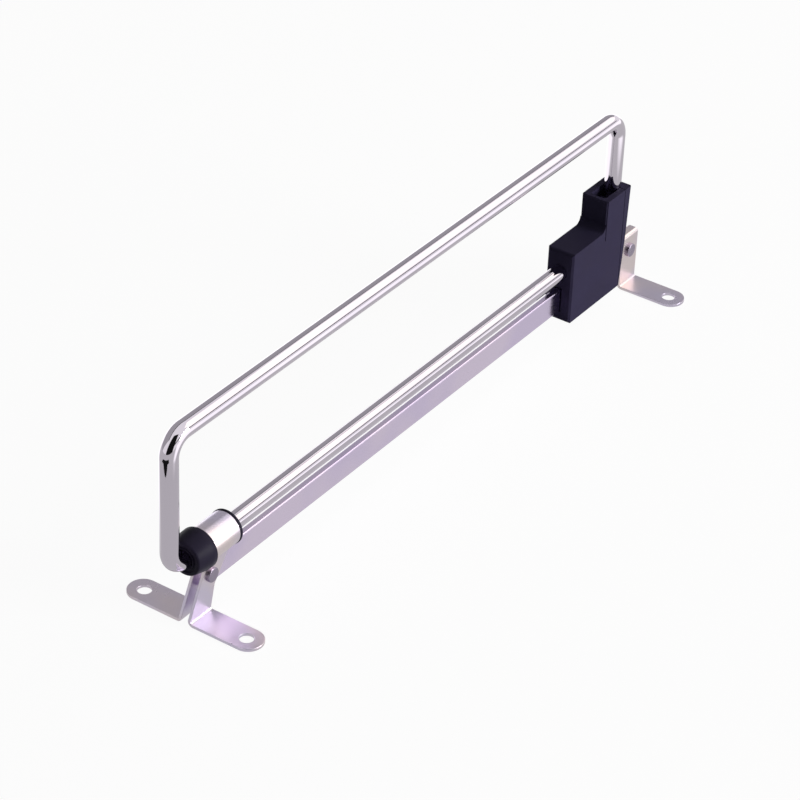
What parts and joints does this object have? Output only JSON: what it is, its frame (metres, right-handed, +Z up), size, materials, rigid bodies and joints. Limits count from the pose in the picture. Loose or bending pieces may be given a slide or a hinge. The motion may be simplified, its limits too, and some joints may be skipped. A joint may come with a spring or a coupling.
{
  "type": "pull-out clothes rail",
  "caption": "Pull-out clothes rail: a bent round-rod loop that slides through a front bush and carries a black slider along a flat guide bar between two riveted screw-on brackets.",
  "frame": {"origin": "centre of the four screw holes, on the underside of the ears", "axes": "+X across the rail, +Y along it from the pull-out front to the rear bracket, +Z up from the ears' underside to the hanging rod, as pictured; in use the part is turned over under a shelf"},
  "size_m": [0.0592, 0.3116, 0.0875],
  "materials": {
    "loop_chrome": "bright chrome plated",
    "bar_plated": "bright plated",
    "bracket_plated": "bright plated, a little softer than the rod",
    "rivet_steel": "plain plated, darker than the brackets",
    "bush_plastic": "black, satin",
    "slider_plastic": "black, matte moulded",
    "fastener_steel": "zinc plated"
  },
  "bodies": {
    "rail": {"front_bracket": "bracket_plated", "rear_bracket": "bracket_plated", "guide_bar": "bar_plated", "front_rivet": "rivet_steel", "rear_rivet": "rivet_steel", "front_bush": "bush_plastic", "bush_retaining_ring": "bush_plastic"},
    "pull_out": {"hanging_loop": "loop_chrome", "slider_body": "slider_plastic", "slider_rear_cover": "slider_plastic", "rod_end_screw": "fastener_steel", "rod_end_washer": "fastener_steel", "leg_cross_pin": "fastener_steel", "cover_screws": "fastener_steel"}
  },
  "joints": [
    {"name": "pull_out_slide", "type": "slide", "parent": "rail", "child": "pull_out", "axis": [0, -1, 0], "range_m": [0, 0.217]}
  ]
}
